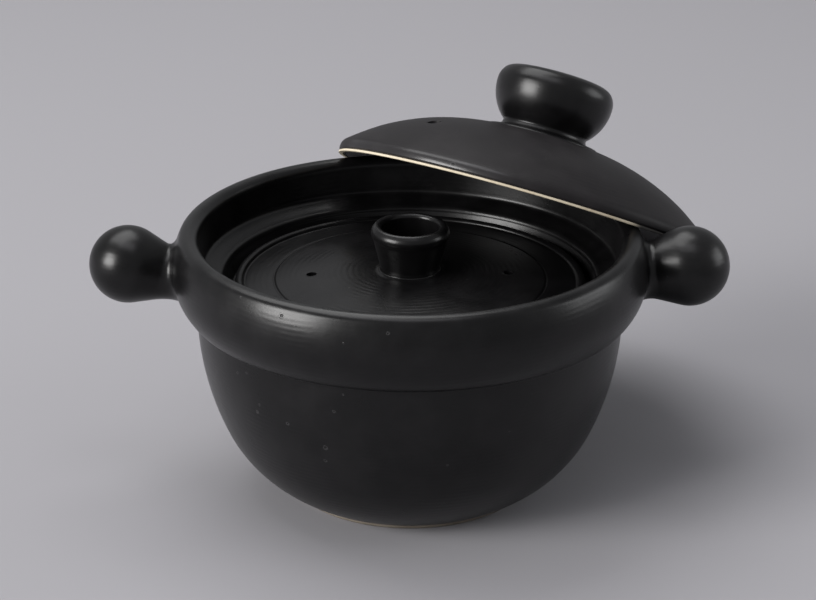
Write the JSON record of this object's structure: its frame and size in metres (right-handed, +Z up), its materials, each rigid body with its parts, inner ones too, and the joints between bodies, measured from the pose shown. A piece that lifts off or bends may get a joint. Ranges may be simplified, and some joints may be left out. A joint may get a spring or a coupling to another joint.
{
  "type": "clay rice pot",
  "caption": "Round clay cooking pot for rice with a thick collar, ball knobs, a flat inner lid with a ring knob, and a domed outer lid leaning on the lip.",
  "frame": {"origin": "centre of the flat foot of the pot, on the surface that it stands on", "axes": "+Z up along the pot's axis; X through the two ball knobs; +Y away from the cook, towards the side on which the outer lid leans"},
  "size_m": [0.2946, 0.2734, 0.1762],
  "materials": {
    "black_glaze": "satin black iron glaze, slightly mottled, with pinholes and faint turning rings",
    "bare_clay": "unglazed pale clay, matt, on the foot and on the outer lid's rim"
  },
  "bodies": {
    "root": {"pot": "black_glaze", "inner_lid": "black_glaze", "outer_lid": "black_glaze"}
  },
  "joints": []
}
